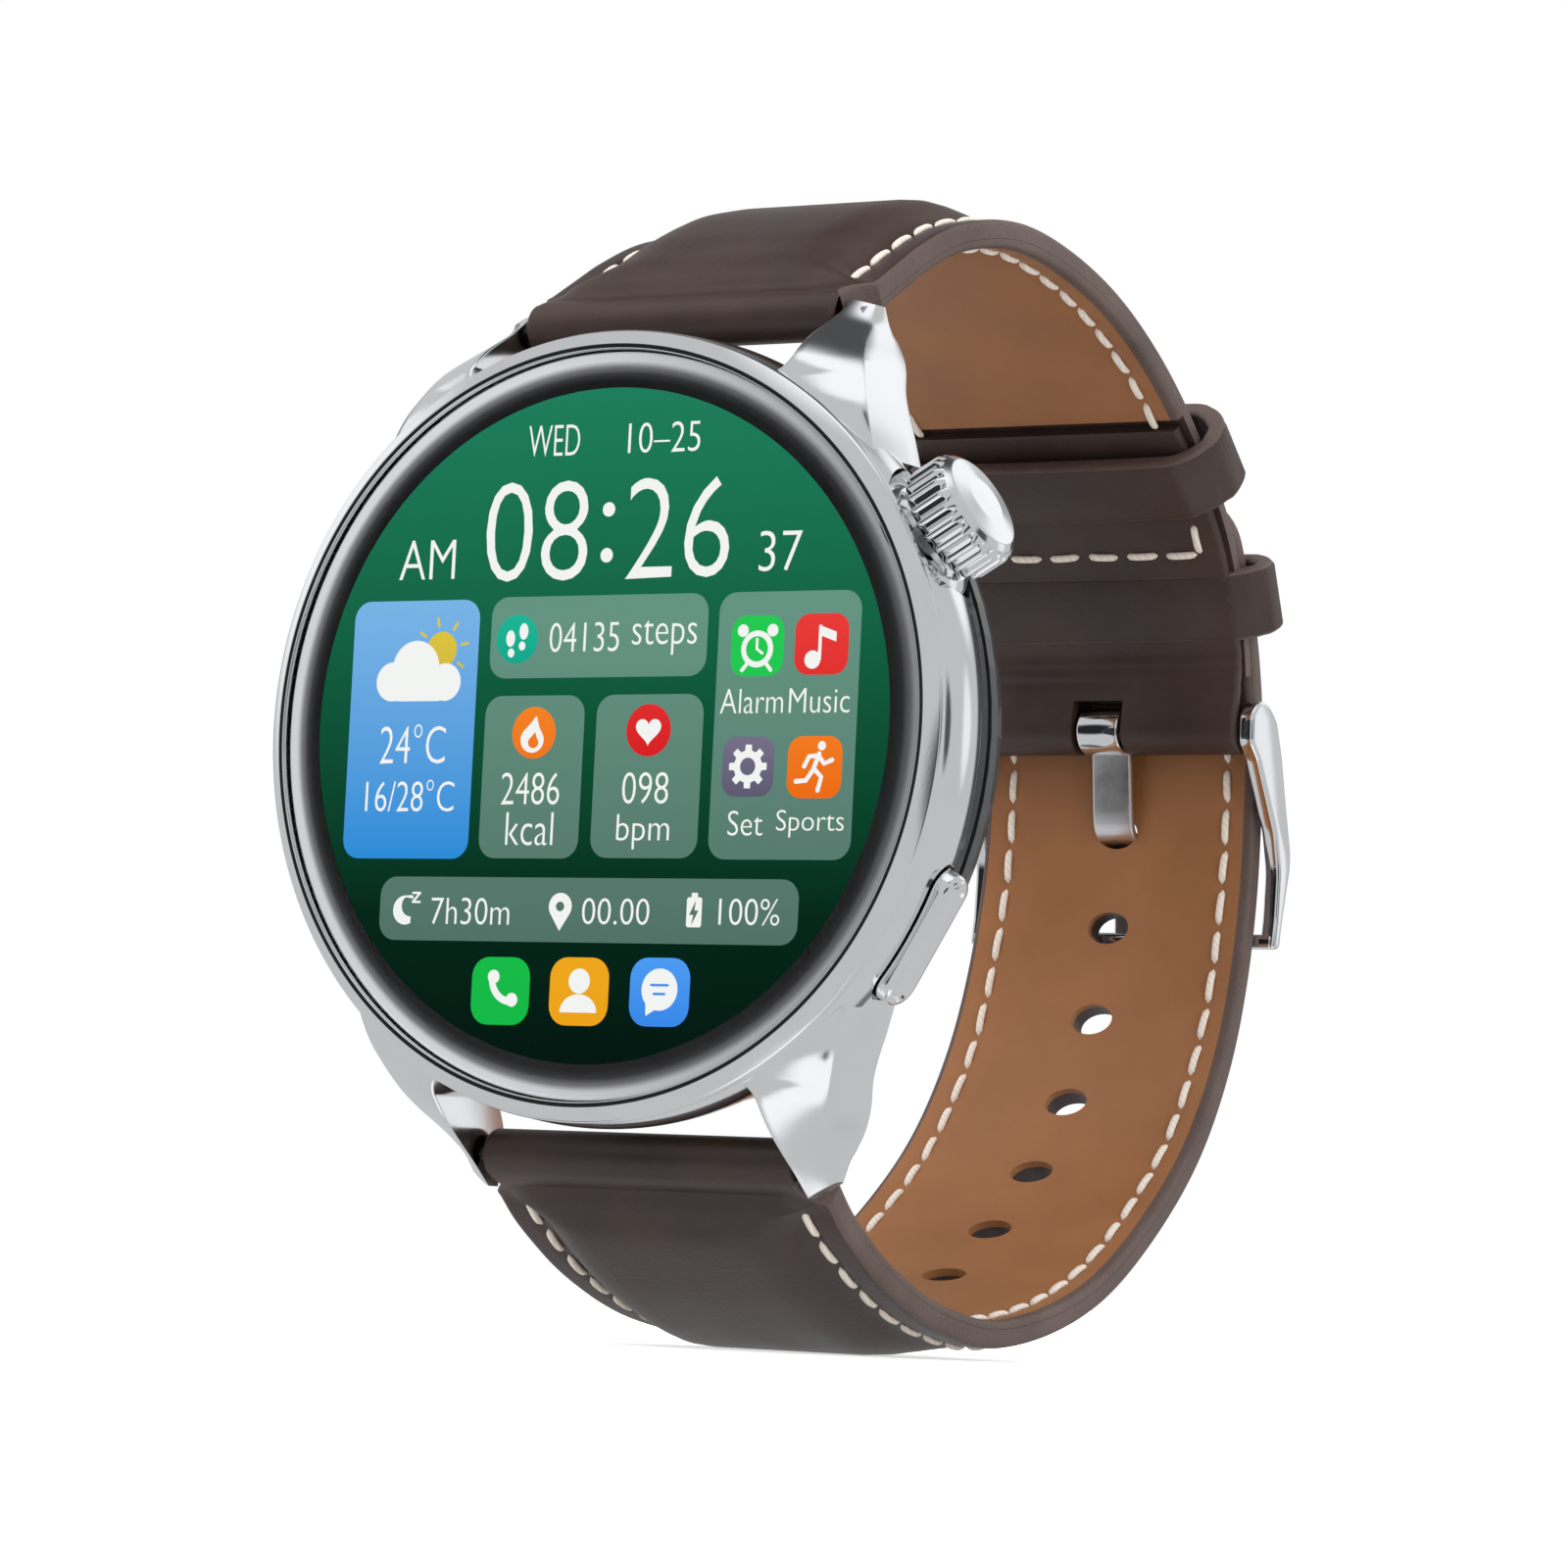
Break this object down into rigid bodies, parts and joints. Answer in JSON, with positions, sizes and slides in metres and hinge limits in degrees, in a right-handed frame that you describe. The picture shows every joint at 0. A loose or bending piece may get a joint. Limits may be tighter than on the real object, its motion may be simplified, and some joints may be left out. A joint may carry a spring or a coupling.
{
  "type": "smartwatch",
  "caption": "Round touchscreen smartwatch with a ribbed crown, a side button and a padded, stitched leather strap that closes with a pin buckle.",
  "frame": {"origin": "centre of the flat face of the sensor window on the back of the watch head", "axes": "+X towards 3 o'clock, the crown side; +Z towards 12 o'clock; +Y out of the back of the watch head into the wrist, so the screen faces -Y"},
  "size_m": [0.0467, 0.0672, 0.0709],
  "materials": {
    "polished_steel": "polished",
    "fastener_steel": "satin",
    "cover_glass": "polished",
    "display": "glossy",
    "black_plastic": "matte",
    "circuit_board": "satin",
    "bright_metal": "satin",
    "gasket_rubber": "matte",
    "back_plastic": "satin",
    "sensor_glass": "polished",
    "contact_gold": "polished",
    "outer_leather": "grained",
    "lining_leather": "smooth"
  },
  "bodies": {
    "case": {"mid_case": "polished_steel", "bezel_ring": "polished_steel", "cover_glass": "cover_glass", "glass_gasket": "gasket_rubber", "display_panel": "display", "display_carrier": "black_plastic", "main_board": "circuit_board", "shield_can": "bright_metal", "battery": "bright_metal", "vibration_motor": "bright_metal", "speaker": "black_plastic", "microphone": "bright_metal", "back_gasket": "gasket_rubber", "back_cover": "back_plastic", "sensor_board": "circuit_board", "sensor_window": "sensor_glass", "back_screw_1": "fastener_steel", "back_screw_2": "fastener_steel", "back_screw_3": "fastener_steel", "back_screw_4": "fastener_steel", "charging_pin_left": "contact_gold", "charging_pin_right": "contact_gold", "upper_spring_bar": "fastener_steel", "lower_spring_bar": "fastener_steel", "crown_tube": "polished_steel", "crown_switch": "black_plastic", "button_switch": "black_plastic"},
    "crown_slider": {"crown_clip": "fastener_steel"},
    "crown": {"crown_cap": "polished_steel", "crown_stem": "fastener_steel", "crown_o_ring": "gasket_rubber"},
    "button": {"button_cap": "polished_steel", "button_stem": "fastener_steel", "button_o_ring": "gasket_rubber", "button_clip": "fastener_steel"},
    "upper_strap": {"upper_strap_leather": "outer_leather", "upper_strap_lining": "lining_leather", "upper_strap_fold": "outer_leather", "fixed_keeper": "outer_leather", "buckle_bar": "fastener_steel"},
    "sliding_keeper": {"sliding_keeper": "outer_leather"},
    "buckle_frame": {"buckle_frame": "polished_steel"},
    "buckle_tongue": {"buckle_tongue": "polished_steel"},
    "lower_strap": {"lower_strap_leather": "outer_leather", "lower_strap_lining": "lining_leather", "tail_leather": "outer_leather", "tail_lining": "lining_leather"}
  },
  "joints": [
    {"name": "lower_strap_swing", "type": "hinge", "parent": "case", "child": "lower_strap", "pos_m": [0, -0.0033, -0.0245], "axis": [-1, 0, 0], "range_deg": [0, 70], "deforming": ["tail_leather", "tail_lining"]},
    {"name": "upper_strap_swing", "type": "hinge", "parent": "case", "child": "upper_strap", "pos_m": [0, -0.0033, 0.0245], "axis": [1, 0, 0], "range_deg": [0, 70]},
    {"name": "buckle_frame_swing", "type": "hinge", "parent": "upper_strap", "child": "buckle_frame", "pos_m": [0, 0.05, 0.006], "axis": [1, 0, 0], "range_deg": [0, 105]},
    {"name": "buckle_tongue_swing", "type": "hinge", "parent": "upper_strap", "child": "buckle_tongue", "pos_m": [0, 0.05, 0.006], "axis": [1, 0, 0], "range_deg": [0, 105]},
    {"name": "keeper_slide", "type": "slide", "parent": "upper_strap", "child": "sliding_keeper", "axis": [0, 0.7278, -0.6858], "range_m": [-0.0016, 0.0016]},
    {"name": "crown_push", "type": "slide", "parent": "case", "child": "crown_slider", "axis": [-0.8704, 0, -0.4924], "range_m": [0, 0.0004], "stiffness_N_per_m": 2500, "springref_m": -0.0004},
    {"name": "crown_turn", "type": "hinge", "parent": "crown_slider", "child": "crown", "pos_m": [0.01741, -0.0072, 0.00985], "axis": [0.8704, 0, 0.4924], "continuous": true},
    {"name": "button_push", "type": "slide", "parent": "case", "child": "button", "axis": [-0.8616, 0, 0.5075], "range_m": [0, 0.0004], "stiffness_N_per_m": 2500, "springref_m": -0.0004}
  ],
  "couplings": [
    {"joint": "buckle_frame_swing", "follows": "lower_strap_swing", "ratio": 1.5},
    {"joint": "buckle_tongue_swing", "follows": "lower_strap_swing", "ratio": 1.5}
  ]
}
